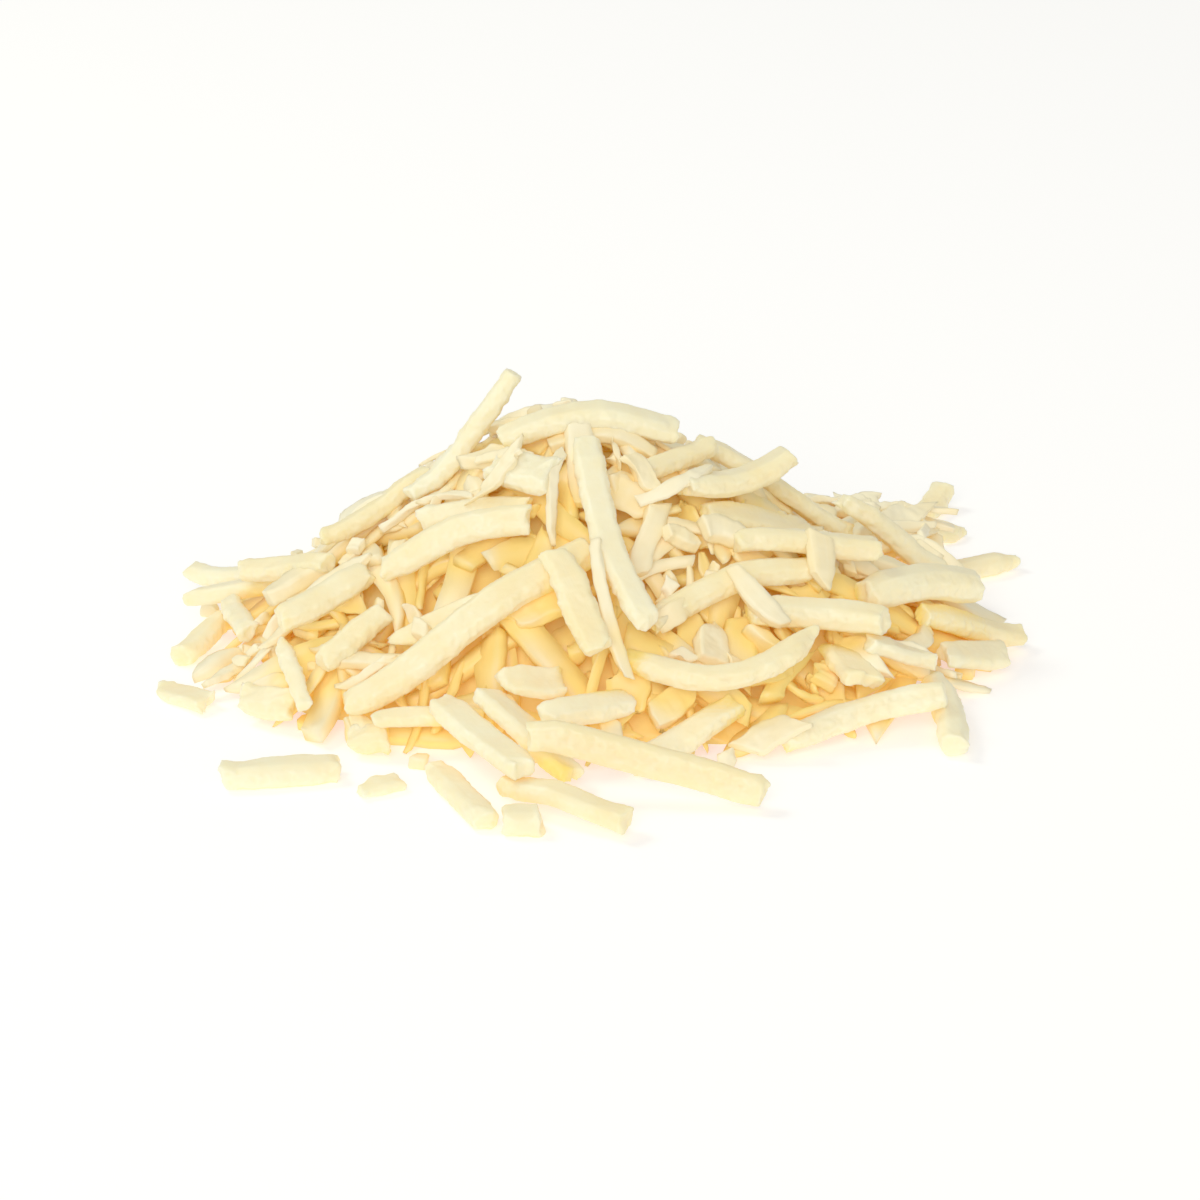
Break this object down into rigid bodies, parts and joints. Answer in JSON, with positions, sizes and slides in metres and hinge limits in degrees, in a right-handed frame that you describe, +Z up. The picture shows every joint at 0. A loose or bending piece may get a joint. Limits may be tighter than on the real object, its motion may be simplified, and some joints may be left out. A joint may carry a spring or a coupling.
{
  "type": "heap of grated cheese",
  "caption": "Low, loose heap of coarsely grated pale yellow cheese, with curved shreds crossing on its slopes and a few strays around its foot.",
  "frame": {"origin": "on the surface the heap lies on, under the middle of its outline", "axes": "+Z up, +X to the right of the pictured side, +Y to the back"},
  "size_m": [0.1238, 0.1176, 0.042],
  "materials": {
    "cheese": "smooth, waxy, slightly translucent pale yellow cheese"
  },
  "bodies": {
    "root": {"back_centre_shred": "cheese", "back_fall_shred": "cheese", "back_foot_shred": "cheese", "back_left_foot_shred": "cheese", "back_left_long_shred": "cheese", "back_right_foot_shred": "cheese", "back_right_slope_shred": "cheese", "back_right_stray_chip": "cheese", "back_right_stray_flake": "cheese", "back_right_upper_shred": "cheese", "centre_fall_shred": "cheese", "crest_arch_shred": "cheese", "crest_chunk": "cheese", "crest_low_shred": "cheese", "crest_right_shred": "cheese", "crest_spike_shred": "cheese", "front_edge_shred": "cheese", "front_fall_shred": "cheese", "front_left_foot_block": "cheese", "front_left_foot_sliver": "cheese", "front_left_stray_flake": "cheese", "front_left_stray_shred": "cheese", "front_middle_flake": "cheese", "front_pale_flake": "cheese", "front_pale_shred": "cheese", "front_right_foot_shred": "cheese", "front_short_shred": "cheese", "front_stray_block": "cheese", "front_stray_shred": "cheese", "front_tail_shred": "cheese", "left_crest_shred": "cheese", "left_edge_shred": "cheese", "left_flat_shred": "cheese", "left_foot_block": "cheese", "left_foot_shred": "cheese", "left_leaning_sliver": "cheese", "left_outline_shred": "cheese", "left_slope_leaf": "cheese", "left_slope_lower_shred": "cheese", "left_slope_upper_shred": "cheese", "left_stray_block": "cheese", "left_stray_chip": "cheese", "left_stray_flake": "cheese", "left_tip_shred": "cheese", "long_diagonal_shred": "cheese", "packed_inner_shreds": "cheese", "right_back_shred": "cheese", "right_bend_shred": "cheese", "right_broad_shred": "cheese", "right_foot_shred": "cheese", "right_front_broad_shred": "cheese", "right_front_flake": "cheese", "right_front_long_shred": "cheese", "right_hook_shred": "cheese", "right_long_shred": "cheese", "right_slope_flake": "cheese", "right_stray_flake": "cheese", "right_stray_shred": "cheese", "right_tip_shred": "cheese", "smile_shred": "cheese"}
  },
  "joints": []
}
